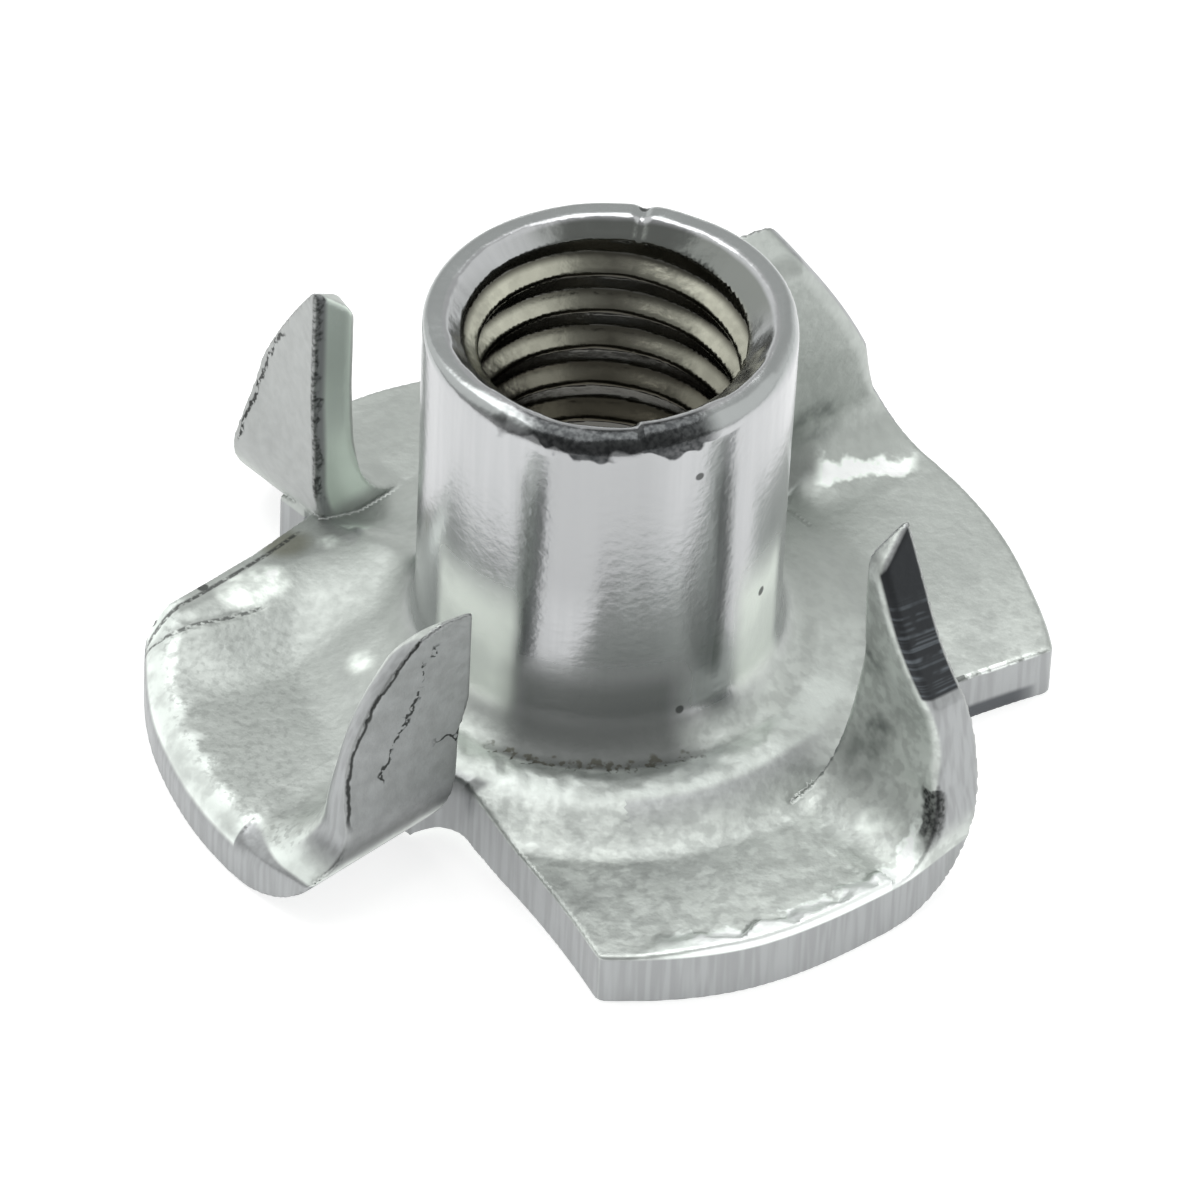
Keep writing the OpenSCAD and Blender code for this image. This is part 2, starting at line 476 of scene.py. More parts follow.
def field_slope(points, reach):
    """Outward direction of the field at each point."""
    slope = np.empty_like(points)
    for a in range(3):
        step = np.zeros(3)
        step[a] = reach
        slope[:, a] = nut(*(points + step).T) - nut(*(points - step).T)
    return slope / np.maximum(np.linalg.norm(slope, axis=1), 1e-9)[:, None]


def build_nut(step, triangles):
    """The nut's mesh, with its vertices moved onto the field's surface and normals from its slope."""
    reach = FLANGE_R + 3 * step
    axes = [axis_steps(-reach, reach, step), axis_steps(-reach, reach, step),
            axis_steps(-3 * step, TOTAL_H + 3 * step, step)]
    points, quads = surface_net(sample_field(*axes), axes)
    mesh = bpy.data.meshes.new("tee_nut_plated")
    mesh.from_pydata(points * MM, [], quads)
    piece = bpy.data.objects.new("tee_nut_plated", mesh)
    bpy.context.scene.collection.objects.link(piece)
    thin_out(piece, triangles / (2 * len(quads)))
    mesh = piece.data
    co = np.empty(len(mesh.vertices) * 3, np.float32)
    mesh.vertices.foreach_get("co", co)
    points = co.reshape(-1, 3).astype(float) / MM
    points -= field_slope(points, 0.03) * nut(*points.T)[:, None]
    mesh.vertices.foreach_set("co", (points * MM).astype(np.float32).ravel())
    mesh.polygons.foreach_set("use_smooth", np.ones(len(mesh.polygons), bool))
    mesh.normals_split_custom_set_from_vertices(field_slope(points, 0.05))
    mesh.update()
    print("nut:", len(mesh.vertices), "vertices,", len(mesh.polygons), "faces")
    return piece


def thin_out(piece, share):
    """Fewer, larger triangles where the surface is flat."""
    if share >= 1:
        return
    cut = piece.modifiers.new("thin", "DECIMATE")
    cut.ratio = share
    cut.use_collapse_triangulate = True
    graph = bpy.context.evaluated_depsgraph_get()
    thinned = bpy.data.meshes.new_from_object(piece.evaluated_get(graph))
    piece.modifiers.clear()
    old = piece.data
    piece.data = thinned
    bpy.data.meshes.remove(old)


# ---- vertex measures that the material reads, in millimetres inside each face ----

def near_prong(x, y):
    """Which prong each place belongs to: a quarter turn about each one."""
    return ((np.degrees(np.arctan2(y, x)) - 8) // 90).astype(int) % 4


def add_measures(piece):
    """Depth below the faces of the sheet and of the nearest prong, and the place on that prong."""
    mesh = piece.data
    co = np.empty(len(mesh.vertices) * 3, np.float32)
    mesh.vertices.foreach_get("co", co)
    x, y, z = (co.reshape(-1, 3).astype(float) / MM).T
    cut = np.min([notch(k, x, y) for k in range(len(LOBES))], 0)
    r = np.hypot(x, y)
    sheet = np.stack([rim_r(x, y) - r, cut, sheet_top(x, y, r) - z], 1)
    depths, place = np.zeros((len(x), 3)), np.zeros((len(x), 3))
    owner = near_prong(x, y)
    for k in range(len(LOBES)):
        own = owner == k
        outer, _, near, edge, _, _ = prong_parts(k, x[own], y[own], z[own])
        s = prong_frame(k, x[own], y[own], z[own])[0]
        depths[own] = -np.stack([outer, edge, near], 1)
        place[own] = np.stack([s, z[own], np.full(len(s), k, float)], 1)
    for name, values in (("sheet", sheet), ("prong", depths), ("place", place)):
        mesh.attributes.new(name, "FLOAT_VECTOR", "POINT").data.foreach_set("vector", values.ravel())
    creases = flap_creases(x, y) * (z > SHEET_T - 0.3)
    mesh.attributes.new("crease", "FLOAT", "POINT").data.foreach_set("value", creases)


# ---- materials ----

class Nodes:
    """Short calls that build a node tree. A value is a socket or a plain number."""

    def __init__(self, tree):
        self.tree = tree

    def node(self, kind, **settings):
        made = self.tree.nodes.new(kind)
        for name, value in settings.items():
            setattr(made, name, value)
        return made

    def feed(self, socket, value):
        if isinstance(value, bpy.types.NodeSocket):
            self.tree.links.new(value, socket)
        else:
            socket.default_value = value

    def math(self, operation, *values):
        made = self.node("ShaderNodeMath", operation=operation)
        for socket, value in zip(made.inputs, values):
            self.feed(socket, value)
        return made.outputs[0]

    def add(self, a, b):
        return self.math("ADD", a, b)

    def sub(self, a, b):
        return self.math("SUBTRACT", a, b)

    def mul(self, *values):
        total = values[0]
        for value in values[1:]:
            total = self.math("MULTIPLY", total, value)
        return total

    def ramp(self, value, low, high, start=0.0, end=1.0):
        """Smooth change from start to end as the value goes from low to high."""
        made = self.node("ShaderNodeMapRange", interpolation_type="SMOOTHSTEP")
        for socket, given in zip(made.inputs, (value, low, high, start, end)):
            self.feed(socket, given)
        return made.outputs[0]

    def band(self, value, middle, half, soft):
        """1 within half of the middle, falling to 0 over soft."""
        return self.ramp(self.math("ABSOLUTE", self.sub(value, middle)), half + soft, half)

    def either(self, *values):
        total = values[0]
        for value in values[1:]:
            total = self.math("MAXIMUM", total, value)
        return total

    def dot(self, parts, direction):
        return self.add(self.add(self.mul(parts[0], direction[0]), self.mul(parts[1], direction[1])),
                        self.mul(parts[2], direction[2]))

    def split(self, vector):
        made = self.node("ShaderNodeSeparateXYZ")
        self.feed(made.inputs[0], vector)
        return made.outputs[0], made.outputs[1], made.outputs[2]

    def join(self, x, y, z):
        made = self.node("ShaderNodeCombineXYZ")
        for socket, value in zip(made.inputs, (x, y, z)):
            self.feed(socket, value)
        return made.outputs[0]

    def noise(self, place, scale, detail=2.0, low=0.35, high=0.65):
        """Smooth noise from 0 to 1; scale is features per millimetre along each axis."""
        made = self.node("ShaderNodeTexNoise")
        made.inputs["Scale"].default_value = 1.0
        made.inputs["Detail"].default_value = detail
        spread = self.node("ShaderNodeVectorMath", operation="MULTIPLY")
        self.feed(spread.inputs[0], place)
        spread.inputs[1].default_value = scale if isinstance(scale, tuple) else (scale,) * 3
        self.feed(made.inputs["Vector"], spread.outputs[0])
        return self.ramp(made.outputs[0], low, high)

    def spot(self, place, centre, radius, soft):
        """1 inside a small ball about the centre, falling to 0 over soft."""
        made = self.node("ShaderNodeVectorMath", operation="DISTANCE")
        self.feed(made.inputs[0], place)
        made.inputs[1].default_value = centre
        return self.ramp(made.outputs["Value"], radius + soft, radius)

    def mix(self, share, a, b):
        made = self.node("ShaderNodeMix", data_type="RGBA")
        self.feed(made.inputs[0], share)
        self.feed(made.inputs[6], a if isinstance(a, bpy.types.NodeSocket) else (*a, 1))
        self.feed(made.inputs[7], b if isinstance(b, bpy.types.NodeSocket) else (*b, 1))
        return made.outputs[2]

    def attribute(self, name):
        return self.split(self.node("ShaderNodeAttribute", attribute_name=name).outputs["Vector"])


DISPLAY_GAMMA = 2.2


def tinted(red, green, blue):
    """The plating's colour times a tint."""
    return tuple(part ** DISPLAY_GAMMA * tint for part, tint in zip(PLATE, (red, green, blue)))


BLACK_TINT = tinted(0.10, 0.10, 0.10)
OLIVE_LINE_TINT = tinted(0.20, 0.19, 0.16)

# Places and sizes of painted shade and dark reflections on the front prong, its foot and the back lobe
SHADE_PLACES = [
    ((5.6, -4.0, 4.84), 0.05), ((5.9, -4.3, 3.1), 0.1), ((5.8, -4.2, 2.4), 0.1),
    ((7.65, -4.65, 0.8), 0.05), ((7.25, -5.2, 0.75), 0.2), ((4.4, 5.9, 2.6), 0.2),
]

# Places and sizes of painted highlights at the front prong's foot, on the flap and on the left lobe
HIGHLIGHT_PLACES = [
    ((5.9, -5.3, 1.35), 0.18), ((6.5, -5.3, 1.45), 0.22), ((-7.45, 0.42, 1.8), 0.36),
    ((-7.0, 0.80, 1.85), 0.3), ((-4.87, -1.44, 1.7), 0.1), ((-5.75, 2.05, 1.9), 0.02),
    ((-5.35, 2.6, 1.9), 0.02),
]

# Places and sizes of the specks on the barrel and the sheet
SPECKS = [
    ((0.58, 3.72, 10.12), 0.09), ((1.95, -3.33, 9.0), 0.07), ((1.80, -3.40, 2.6), 0.07),
    ((3.38, -1.85, 4.6), 0.08), ((7.45, -6.05, 1.3), 0.08), ((-8.30, 0.53, 1.75), 0.10),
    ((-9.20, -0.26, 1.4), 0.10),
]


class Surface:
    """What the material asks about a point of the nut: where it is, what it is part of, and shared noise."""

    def __init__(self, n, place):
        self.place = place
        self.x, self.y, self.z = n.split(place)
        self.radius = n.math("SQRT", n.add(n.mul(self.x, self.x), n.mul(self.y, self.y)))
        # Angle about the axis from the front, in degrees, growing to the right
        self.around = n.mul(n.math("ARCTAN2", self.x, n.mul(self.y, -1.0)), 180 / math.pi)
        self.from_rim, self.from_cut, self.below_top = n.attribute("sheet")
        self.outer_in, self.edge_in, self.near_in = n.attribute("prong")
        self.along, self.height, self.owner = n.attribute("place")
        self.cloud = n.noise(place, 0.7, 2.0)
        self.patch = n.noise(place, 1.6, 3.0, 0.38, 0.62)
        self.fleck = n.noise(place, 3.4, 2.0, 0.42, 0.62)
        # Two noises from -0.5 to 0.5 that make the outlines of wear ragged
        self.ragged = n.sub(n.noise(place, 2.6, 2.0, 0.25, 0.75), 0.5)
        self.fine = n.sub(n.noise(place, 9.0, 1.0, 0.25, 0.75), 0.5)
        self.front_side = n.ramp(n.dot((self.x, self.y, self.z), (0.45, -1.0, 0.0)), 0.0, 5.0)
        self.find_kinds(n)
        self.find_patches(n)

    def find_kinds(self, n):
        """How much the point belongs to the barrel, the thread, a sheared edge or the top of a prong."""
        self.barrel = n.mul(n.ramp(self.radius, 4.5, 4.1), n.ramp(self.z, 2.0, 2.6))
        self.thread = n.mul(n.ramp(self.radius, 3.12, 3.02), n.ramp(self.z, 9.85, 9.65))
        from_side = n.math("MINIMUM", self.from_rim, self.from_cut)
        wall = n.mul(n.ramp(from_side, 0.07, 0.02), n.ramp(self.below_top, 0.03, 0.10))
        wall = n.mul(wall, n.ramp(self.z, 2.2, 1.4), n.ramp(self.radius, 4.9, 5.2))
        off_outer = n.ramp(self.outer_in, 0.02, 0.06)
        prong_edge = n.mul(n.ramp(self.edge_in, 0.10, 0.04), off_outer)
        self.prong_near = n.mul(n.ramp(self.near_in, 0.10, 0.04), off_outer)
        self.prong = n.mul(n.ramp(self.radius, 5.4, 5.6), n.ramp(self.height, 1.4, 2.0),
                           n.ramp(self.outer_in, -0.30, -0.12))
        self.sheared = n.either(wall, n.mul(self.prong, n.either(prong_edge, self.prong_near)))
        self.outside = n.ramp(self.outer_in, 0.10, 0.04)

    def find_patches(self, n):
        """Masks for two whitish patches of painted reflection low on the barrel and for painted grey shade at
        the front of its foot; both are made less metallic.
        """
        sides = n.either(n.band(self.around, -42.0, 14.0, 6.0), n.band(self.around, 62.0, 8.0, 9.0))
        cloudy = n.add(0.78, n.mul(self.cloud, 0.22))
        self.whitish_reflection = n.mul(self.barrel, sides, n.ramp(self.z, 6.2, 4.6), cloudy)
        foot = n.mul(n.ramp(self.radius, 4.72, 4.60), n.ramp(self.z, 4.4, 3.2))
        self.painted_foot_shade = n.mul(n.band(self.around, 1.0, 20.0, 15.0), foot)

    def on_prong(self, n, which):
        """1 on the top of one of the four prongs."""
        return n.mul(n.band(self.owner, which, 0.2, 0.1), self.prong)


def sheet_colour(n, at):
    """Clouded sheet, painted darker as shade towards the back and the left, with painted highlights along two
    rims and on the ring about the barrel's foot, and painted shade over the left lobe's dotted middle.
    """
    colour = n.mix(at.cloud, tinted(1.04, 1.035, 1.02), tinted(1.22, 1.215, 1.19))
    colour = n.mix(n.mul(at.patch, 0.42), colour, tinted(1.45, 1.44, 1.42))
    colour = n.mix(n.mul(at.fleck, 0.42), colour, tinted(0.70, 0.70, 0.69))
    # Painted shade: the sheet is painted darker towards the back and the left.
    colour = n.mix(n.mul(n.sub(1.0, at.front_side), 0.8), colour, tinted(0.80, 0.80, 0.785))

    # Burnished rim of the left lobe, painted brighter as a highlight
    edge = n.add(at.from_rim, n.mul(at.patch, -0.25))
    rim_highlight = n.mul(n.ramp(edge, 0.74, 0.30), n.ramp(at.x, -4.0, -6.0), n.ramp(at.y, 1.6, 0.6))
    rim_highlight = n.mul(rim_highlight, n.ramp(at.z, 0.6, 0.9), n.add(0.5, n.mul(at.patch, 0.5)))
    colour = n.mix(rim_highlight, colour, tinted(1.72, 1.72, 1.70))

    # Burr along the rim of the front lobe, painted brighter as a highlight
    burr = n.mul(n.ramp(n.sub(edge, n.mul(at.fleck, 0.15)), 0.44, 0.26), n.ramp(at.x, 1.0, 2.5))
    burr = n.mul(burr, n.ramp(at.x, 7.1, 6.7), n.ramp(at.y, -4.0, -5.0), n.ramp(at.z, 1.0, 1.2))
    colour = n.mix(burr, colour, tinted(1.78, 1.78, 1.76))

    # Whitish ring on the ridge around the front of the barrel's foot, also painted brighter as a highlight
    ring = n.mul(n.band(at.radius, 5.05, 0.30, 0.45), at.front_side, n.ramp(at.radius, 4.60, 4.72))
    colour = n.mix(n.mul(ring, n.add(0.35, n.mul(at.patch, 0.5))), colour, tinted(1.38, 1.38, 1.36))

    # Dotted middle of the left lobe: painted darker as shade, with grey dots
    dotted_shade = n.mul(n.ramp(at.x, -5.2, -6.4), n.ramp(at.y, 1.0, -1.0), n.ramp(at.z, 0.9, 1.2))
    dotted_shade = n.mul(dotted_shade, n.ramp(at.from_rim, 0.25, 0.5))
    dots = n.noise(at.place, 6.5, 2.0, 0.50, 0.64)
    return n.mix(n.mul(dotted_shade, n.add(0.25, n.mul(dots, 0.35))), colour, tinted(0.56, 0.56, 0.55))


def barrel_colour(n, at):
    """Streaked drawn barrel with painted reflections: dark streaks, two whitish patches and a darker front
    middle; painted shade on the rim's land, and darker in the countersink.
    """
    streak = n.noise(n.join(n.mul(at.around, 0.067), at.z, 0.0), (4.5, 0.22, 1.0), 2.0)
    colour = n.mix(n.mul(streak, 0.30), tinted(0.93, 0.89, 0.93), tinted(0.80, 0.77, 0.81))
    # Painted reflections: two dark streaks down the barrel.
    dark_reflection_streaks = n.either(n.band(at.around, -24.0, 1.0, 3.0), n.band(at.around, 41.0, 1.6, 4.0))
    dark_reflection_streaks = n.mul(dark_reflection_streaks, n.ramp(at.z, 2.6, 4.0), n.ramp(at.z, 9.3, 8.6))
    colour = n.mix(n.mul(dark_reflection_streaks, n.add(0.25, n.mul(streak, 0.45))), colour, tinted(0.46, 0.45, 0.46))
    # Painted reflection: two whitish patches low on the barrel.
    colour = n.mix(at.whitish_reflection, colour, tinted(1.74, 1.74, 1.67))
    # Painted reflection: the upper front middle of the barrel is painted darker.
    middle = n.mul(n.band(at.around, 0.0, 12.0, 14.0), n.ramp(at.z, 5.0, 6.5))
    colour = n.mix(n.mul(middle, 0.7), colour, tinted(0.70, 0.67, 0.70))
    # Painted shade: the rim's land is painted darker.
    land = n.mul(n.ramp(at.z, TOTAL_H - 0.26, TOTAL_H - 0.14), n.ramp(at.radius, 3.42, 3.50))
    colour = n.mix(n.mul(land, 0.7), colour, tinted(0.74, 0.74, 0.75))
    cone = n.mul(n.ramp(at.radius, 3.36, 3.28), n.ramp(at.z, 9.3, 9.5), n.ramp(at.y, -0.5, 1.0))
    cone = n.mul(cone, n.ramp(n.add(at.x, n.mul(at.cloud, 1.2)), -3.0, 0.6))
    return n.mix(n.mul(cone, 0.9), colour, tinted(0.42, 0.42, 0.40))


def thread_colour(n, at):
    """Olive thread, painted dark as shade in its grooves and darker with depth, with its upward-facing flanks
    painted pale as lit.
    """
    facing = n.split(n.node("ShaderNodeNewGeometry").outputs["Normal"])[2]
    aside = n.ramp(n.math("ABSOLUTE", at.x), -0.6, 2.0)
    # Painted light: flanks that face up are painted pale, most at the sides of the bore.
    pale = n.mul(n.ramp(facing, 0.15, 0.65), n.ramp(at.radius, 3.04, 2.88), aside)
    pale = n.mul(pale, n.add(0.65, n.mul(at.cloud, 0.2)), n.add(0.85, n.mul(at.fleck, 0.15)))
    colour = n.mix(pale, tinted(0.17, 0.155, 0.13), tinted(1.20, 1.13, 0.97))
    # Painted shade: darker deeper in the bore.
    return n.mix(n.ramp(at.z, 8.9, 5.0), colour, tinted(0.15, 0.13, 0.10))


def plate_colour(n, at):
    """Sheet, barrel, striated sheared edges and thread, each in its place."""
    lines = n.noise(at.place, (7.0, 7.0, 0.45), 1.0)
    cut = n.mix(n.mul(lines, 0.7), tinted(0.63, 0.61, 0.635), tinted(0.78, 0.76, 0.79))
    colour = n.mix(at.barrel, sheet_colour(n, at), barrel_colour(n, at))
    colour = n.mix(at.sheared, colour, cut)
    return n.mix(at.thread, colour, thread_colour(n, at))


def front_prong_torn_face_and_shadow(n, at, colour):
    """The front prong's dark torn face, with pale lines across, and painted black shadow in the inner curve
    of its fold.
    """
    front = at.on_prong(n, FRONT)
    torn = n.mul(front, n.ramp(at.edge_in, 0.16, 0.08))
    torn = n.mul(torn, n.ramp(at.outer_in, 0.04, 0.07), n.ramp(at.outer_in, 0.98, 0.90))
    top = n.sub(7.92, n.mul(at.outer_in, 0.78))
    torn = n.mul(torn, n.ramp(at.height, 4.78, 4.86), n.ramp(n.sub(at.height, top), 0.03, -0.03))
    across = n.noise(n.join(0.0, 0.0, at.height), (1.0, 1.0, 9.0), 1.0, 0.45, 0.65)
    across = n.mul(across, n.noise(at.place, 3.0, 1.0, 0.35, 0.6), n.ramp(at.height, 7.0, 6.2))
    face = n.mix(n.mul(across, 0.5), tinted(0.10, 0.10, 0.11), tinted(0.50, 0.53, 0.60))
    colour = n.mix(torn, colour, face)
    # Painted shadow: black in the inner curve of the fold, beside the curved edge.
    fold_shadow = n.mul(front, n.ramp(n.add(at.edge_in, n.mul(at.ragged, 0.2)), 0.42, 0.30))
    fold_shadow = n.mul(fold_shadow, n.ramp(at.outer_in, 0.9, 1.1))
    fold_shadow = n.mul(fold_shadow, n.band(n.add(at.height, n.mul(at.ragged, 0.4)), 2.15, 0.45, 0.15))
    return n.mix(n.mul(fold_shadow, n.add(0.86, n.mul(at.fine, 0.4))), colour, BLACK_TINT)


def painted_spots(n, at, colour):
    """Places painted darker as shade and dark reflections, and places painted lighter as highlights."""
    shaded = n.either(*(n.spot(at.place, spot, size, 0.75) for spot, size in SHADE_PLACES))
    colour = n.mix(n.mul(shaded, n.add(0.6, n.mul(at.ragged, 0.9))), colour, tinted(0.42, 0.43, 0.42))
    highlights = n.either(*(n.spot(at.place, spot, size, 0.35) for spot, size in HIGHLIGHT_PLACES))
    return n.mix(n.mul(highlights, n.add(0.75, n.mul(at.ragged, 0.9))), colour, tinted(1.78, 1.78, 1.74))


def outer_faces(n, at, colour):
    """Greyer outer faces of the prongs, most of all the left one, with painted shade low at its fold."""
    blotches = n.mul(n.add(at.ragged, 0.5), 0.5)
    grey = n.mix(blotches, tinted(0.76, 0.74, 0.75), tinted(0.86, 0.84, 0.85))
    left_grey = n.mix(blotches, tinted(0.60, 0.585, 0.60), tinted(0.80, 0.78, 0.81))
    left = n.mul(at.on_prong(n, LEFT), at.outside)
    colour = n.mix(n.mul(at.prong, at.outside), colour, grey)
    colour = n.mix(left, colour, left_grey)
    # Painted shade: the left prong's outer face is painted dark low at its fold.
    return n.mix(n.mul(left, n.ramp(at.height, 2.6, 1.5), 0.95), colour, tinted(0.17, 0.17, 0.17))


def left_prong_cracks(n, at):
    """A thick crack along the left prong's outline, two shorter ones inside it and one across its edge."""
    rim_crack = n.band(n.add(at.edge_in, n.mul(at.ragged, 0.06)), 0.06, 0.012, 0.04)
    rim_crack = n.mul(rim_crack, n.ramp(at.height, 2.4, 2.9))
    wander = n.add(at.along, n.mul(at.height, 0.42))
    inner_crack = n.band(n.add(wander, n.mul(at.ragged, 0.25)), 9.19, 0.02, 0.05)
    inner_crack = n.mul(inner_crack, n.band(at.height, 4.4, 1.0, 0.15), n.ramp(at.fine, -0.35, -0.1))
    upper_crack = n.band(n.add(wander, n.mul(at.ragged, 0.3)), 9.25, 0.01, 0.05)
    upper_crack = n.mul(upper_crack, n.band(at.height, 6.1, 0.35, 0.15), n.ramp(at.fine, -0.15, 0.1))
    cross_crack = n.band(n.add(at.height, n.mul(at.ragged, 0.5)), 3.85, 0.03, 0.05)
    cross_crack = n.mul(cross_crack, n.ramp(at.along, 6.6, 6.3))
    cracks = n.either(rim_crack, inner_crack, upper_crack, cross_crack)
    return n.mul(at.on_prong(n, LEFT), at.outside, cracks)


def back_prong_cracks(n, at):
    """A ragged dark line beside the back prong's inner edge and a crack along its outline."""
    line = n.ramp(n.add(at.outer_in, n.mul(at.ragged, 0.28)), 0.21, 0.09)
    line = n.mul(line, n.ramp(at.near_in, 0.14, 0.06), n.ramp(at.height, 2.0, 2.5), n.add(0.75, at.fine))
    crack = n.band(n.add(at.edge_in, n.mul(at.ragged, 0.14)), 0.17, 0.02, 0.05)
    crack = n.mul(crack, n.band(at.height, 4.0, 1.7, 0.2), at.outside, n.ramp(at.fine, -0.4, 0.0))
    return n.mul(at.on_prong(n, BACK), n.either(n.mul(line, 0.75), crack))


def flap_crease_shade(n, at):
    """Painted shade in the two creases of the flap, broken up by noise."""
    crease = n.node("ShaderNodeAttribute", attribute_name="crease").outputs["Fac"]
    return n.mul(n.ramp(crease, 0.024, 0.037), n.ramp(at.fine, -0.6, 0.0), 0.8)


def foot_shade_and_line(n, at, colour):
    """The front of the barrel's foot painted dark as shade, with a broken dark olive line around it."""
    # Painted shade over the front of the barrel's foot.
    colour = n.mix(n.mul(at.painted_foot_shade, 0.92), colour, tinted(0.30, 0.30, 0.30))
    olive_line = n.band(n.add(at.radius, n.mul(at.ragged, 0.34)), 4.60, 0.04, 0.09)
    olive_line = n.mul(olive_line, n.ramp(at.z, 2.5, 2.2), n.band(at.around, 1.0, 24.0, 9.0))
    return n.mix(n.mul(olive_line, n.ramp(n.add(at.ragged, at.fine), -0.25, 0.35)), colour, OLIVE_LINE_TINT)


def rim_reflection_band(n, at, colour):
    """The dark band painted below the front of the barrel's rim, a painted dark reflection on its rounding,
    with a ragged edge.
    """
    broad = n.sub(n.noise(at.place, 1.3, 1.0, 0.3, 0.7), 0.5)
    wave = n.add(n.mul(at.ragged, 0.10), n.mul(broad, 0.34))
    below_rim = n.add(n.sub(TOTAL_H + 0.04, at.z), wave)
    rim_dark_reflection = n.mul(n.ramp(below_rim, 0.47, 0.39), n.ramp(at.radius, 3.34, 3.40))
    rim_dark_reflection = n.mul(rim_dark_reflection, n.ramp(n.add(at.around, n.mul(at.ragged, 14.0)), -40.0, -22.0))
    rim_dark_reflection = n.mul(rim_dark_reflection, n.ramp(at.around, 40.0, 30.0), n.add(0.92, n.mul(at.fine, 0.15)))
    return n.mix(rim_dark_reflection, colour, tinted(0.07, 0.07, 0.075))


def right_lobe_shade_and_highlights(n, at, colour):
    """The right lobe: a painted shadow low on its sheared edge, painted highlights along the chipped top edge
    above it, and a painted highlight on a bend.
    """
    lobe = n.mul(n.ramp(at.x, 6.2, 6.6), n.ramp(at.y, 0.5, 0.0), n.ramp(at.y, -4.2, -3.8))
    lobe = n.mul(lobe, n.ramp(at.z, 1.7, 1.5))
    # Painted shadow: a dark line low on the sheared edge.
    edge_shadow = n.mul(lobe, n.ramp(at.from_cut, 0.08, 0.02), n.ramp(at.z, 0.50, 0.34))
    colour = n.mix(n.mul(edge_shadow, n.ramp(at.from_rim, 0.25, 0.45)), colour, tinted(0.20, 0.20, 0.22))
    # Painted highlight: light dashes along the top edge, broken by dark chips.
    arris_highlight = n.mul(lobe, n.band(at.from_cut, 0.06, 0.04, 0.03), n.ramp(at.below_top, 0.12, 0.06))
    colour = n.mix(n.mul(arris_highlight, n.ramp(at.ragged, 0.0, 0.15)), colour, tinted(1.80, 1.80, 1.78))
    chips = n.mul(arris_highlight, n.ramp(at.ragged, -0.1, -0.25), 0.7)
    # Painted highlight: a light band on the bend at the foot of the right prong.
    across_bend = n.sub(n.dot((at.x, at.y, at.z), (-0.355, 0.935, 0.0)), 3.33)
    bend = n.band(n.add(across_bend, n.mul(at.ragged, 0.25)), 0.0, 0.14, 0.16)
    bend = n.mul(bend, n.band(at.x, 5.6, 0.9, 0.3), n.ramp(at.z, 2.2, 1.9), n.ramp(at.z, 0.9, 1.1))
    return n.mix(bend, colour, tinted(1.80, 1.80, 1.77)), chips


def marks_and_painted_light(n, at, colour):
    """Wear and painted light over the plating: the torn face, painted shade and highlights, stains, cracks
    and specks.
    """
    colour = front_prong_torn_face_and_shadow(n, at, colour)
    colour = painted_spots(n, at, colour)
    colour = outer_faces(n, at, colour)
    # Painted highlight: the back prong's near face is painted lighter.
    near_face_highlight = n.mul(at.on_prong(n, BACK), at.prong_near, n.ramp(at.outer_in, 0.2, 0.35))
    colour = n.mix(near_face_highlight, colour, tinted(1.36, 1.42, 1.34))
    tarnish = n.mul(n.spot(at.place, (-6.65, 2.12, 1.85), 0.30, 0.45), 0.8)
    colour = n.mix(tarnish, colour, tinted(0.45, 0.43, 0.35))
    colour = foot_shade_and_line(n, at, colour)
    colour = rim_reflection_band(n, at, colour)
    colour, chips = right_lobe_shade_and_highlights(n, at, colour)
    specks = n.mul(n.either(*(n.spot(at.place, spot, size, 0.05) for spot, size in SPECKS)), 0.85)
    # Painted black: cracks, chips and specks, and the flap's creases as painted shade.
    cracks = n.either(left_prong_cracks(n, at), back_prong_cracks(n, at), flap_crease_shade(n, at), chips)
    return n.mix(n.either(cracks, specks), colour, BLACK_TINT)


def zinc_material():
    """Bright zinc over pressed steel: satin sheet, smooth barrel, striated sheared edges, a dark torn face,
    and painted shade and highlights.
    """
    material = bpy.data.materials.new("zinc_plate")
    material.use_nodes = True
    n = Nodes(material.node_tree)
    shader = material.node_tree.nodes["Principled BSDF"]
    scaled = n.node("ShaderNodeVectorMath", operation="SCALE")
    scaled.inputs["Scale"].default_value = 1 / MM
    n.feed(scaled.inputs[0], n.node("ShaderNodeTexCoord").outputs["Object"])
    at = Surface(n, scaled.outputs[0])
    n.feed(shader.inputs["Base Color"], marks_and_painted_light(n, at, plate_colour(n, at)))
    matt = n.either(at.whitish_reflection, at.painted_foot_shade)
    n.feed(shader.inputs["Metallic"], n.sub(1.0, n.mul(matt, 0.6)))
    grain = n.noise(at.place, 5.0, 2.0, 0.2, 0.8)
    satin = n.sub(1.0, n.either(n.mul(at.barrel, n.sub(1.0, matt)), at.sheared))
    rough = n.add(0.22, n.mul(satin, n.add(0.22, n.mul(grain, 0.10))))
    n.feed(shader.inputs["Roughness"], n.add(rough, n.mul(at.sheared, 0.20)))
    bump = n.node("ShaderNodeBump")
    bump.inputs["Distance"].default_value = MM
    n.feed(bump.inputs["Height"], n.mul(grain, n.add(0.003, n.mul(satin, 0.002))))
    n.feed(shader.inputs["Normal"], bump.outputs[0])
    return material


# ---- studio ----

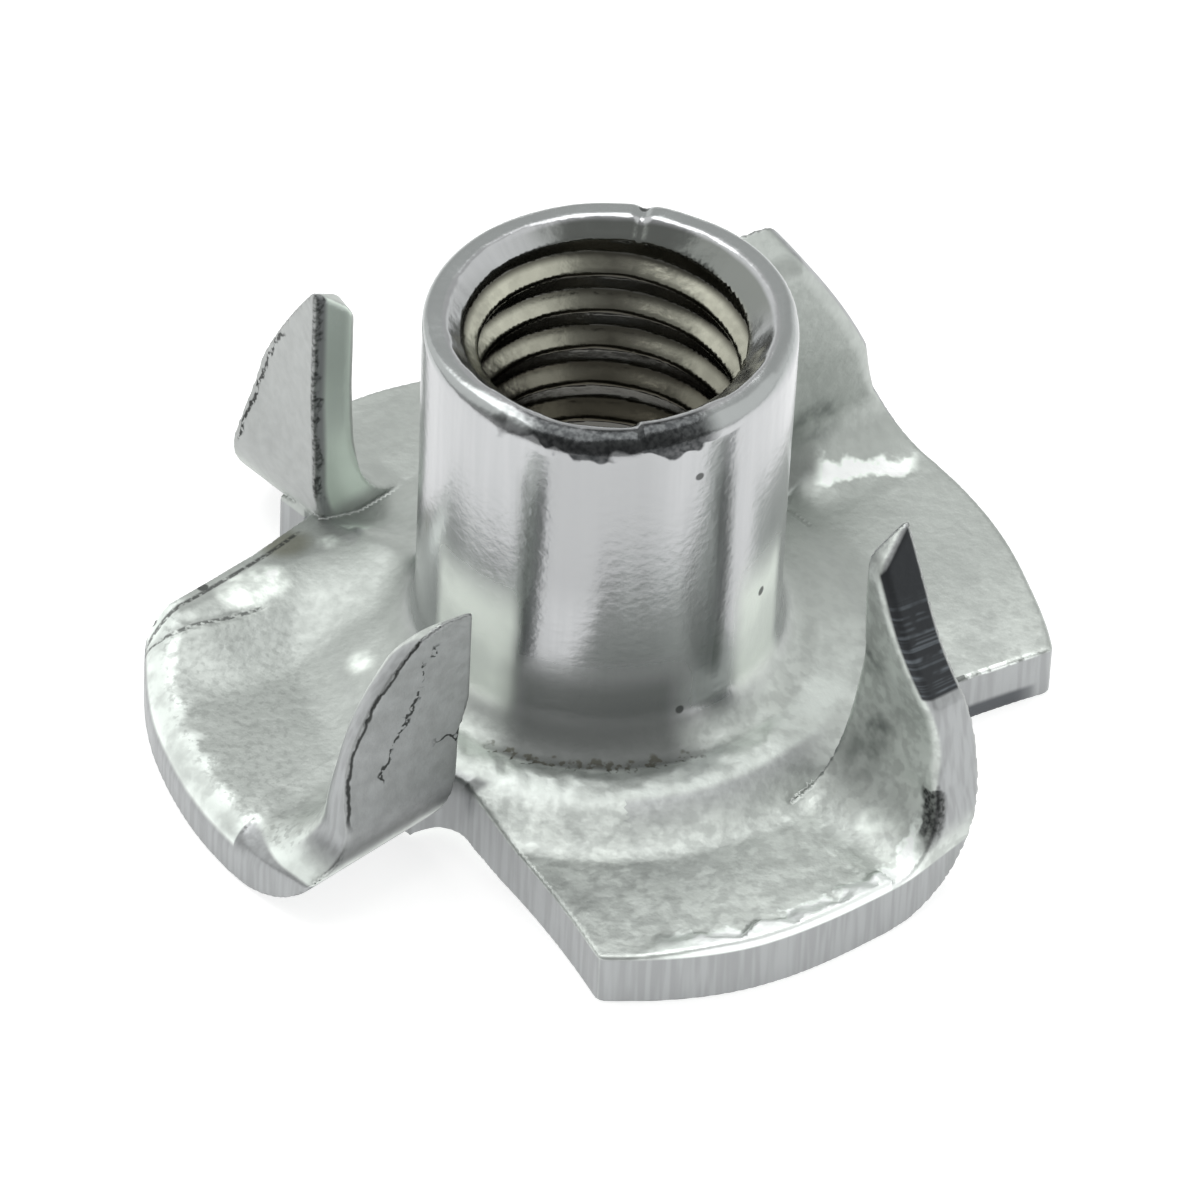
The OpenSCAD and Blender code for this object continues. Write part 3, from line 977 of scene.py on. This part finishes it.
def add_camera():
    """Long lens, looking down at 42 degrees with the slight roll of a hand-held shot."""
    aim = Vector((0.05, 0.46, 2.03)) * MM
    distance = 230 * MM
    elevation, roll = math.radians(42.27), math.radians(-2.79)
    forward = Vector((0, math.cos(elevation), -math.sin(elevation)))
    up = Vector((0, math.sin(elevation), math.cos(elevation)))
    right = Vector((1, 0, 0))
    turned_right = math.cos(roll) * right - math.sin(roll) * up
    turned_up = math.sin(roll) * right + math.cos(roll) * up
    data = bpy.data.cameras.new("camera")
    data.lens = 328.6
    data.sensor_width = 36
    data.clip_start = 0.01
    camera = bpy.data.objects.new("camera", data)
    camera.matrix_world = Matrix.Translation(aim - forward * distance) @ Matrix(
        (turned_right, turned_up, -forward)).transposed().to_4x4()
    bpy.context.scene.collection.objects.link(camera)
    bpy.context.scene.camera = camera


def add_area(name, place, aim, size, power):
    """Square lamp that points at aim; lengths in millimetres."""
    data = bpy.data.lights.new(name, "AREA")
    data.size = size * MM
    data.energy = power
    lamp = bpy.data.objects.new(name, data)
    lamp.location = Vector(place) * MM
    lamp.rotation_euler = (Vector(aim) * MM - lamp.location).to_track_quat("-Z", "Y").to_euler()
    bpy.context.scene.collection.objects.link(lamp)


def add_floor():
    """White floor: mostly its own light, so that it stays white, with enough diffuse to hold a shadow."""
    bpy.ops.mesh.primitive_plane_add(size=3.0)
    floor = bpy.context.object
    floor.name = "floor"
    material = bpy.data.materials.new("floor_white")
    material.use_nodes = True
    shader = material.node_tree.nodes["Principled BSDF"]
    shader.inputs["Base Color"].default_value = (0.60, 0.60, 0.60, 1)
    shader.inputs["Roughness"].default_value = 0.9
    shader.inputs["Specular IOR Level"].default_value = 0.0
    shader.inputs["Emission Color"].default_value = (1, 1, 1, 1)
    shader.inputs["Emission Strength"].default_value = 0.70
    floor.data.materials.append(material)


def set_world():
    """Studio sky: pale behind the nut and darker on the camera's side."""
    world = bpy.data.worlds.new("studio")
    bpy.context.scene.world = world
    world.use_nodes = True
    n = Nodes(world.node_tree)
    back = world.node_tree.nodes["Background"]
    x, y, z = n.split(n.node("ShaderNodeTexCoord").outputs["Generated"])
    level = n.ramp(y, -0.35, 0.45, 0.34, 0.62)
    level = n.add(level, n.ramp(z, 0.78, 0.96, 0.0, 0.14))
    level = n.add(level, n.mul(n.ramp(z, 0.42, 0.16), n.ramp(y, 0.1, 0.6), 0.40))
    right = n.ramp(n.dot((x, y, z), (0.84, -0.08, 0.54)), 0.80, 0.94)
    left = n.ramp(n.dot((x, y, z), (-0.74, 0.24, 0.63)), 0.80, 0.94)
    level = n.add(level, n.mul(n.either(right, left), 0.85))
    n.feed(back.inputs["Color"], n.mix(level, (0, 0, 0), (0.99, 1.0, 0.99)))
    back.inputs["Strength"].default_value = 1.0


bpy.context.scene.view_settings.view_transform = "Standard"
add_camera()
add_floor()
set_world()
add_area("top", place=(-25, 45, 220), aim=(0, 0, 3), size=180, power=0.20)

tee_nut = build_nut(GRID_STEP, TRIANGLES)
add_measures(tee_nut)
tee_nut.data.materials.append(zinc_material())
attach(tee_nut, "root")
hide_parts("tee_nut")
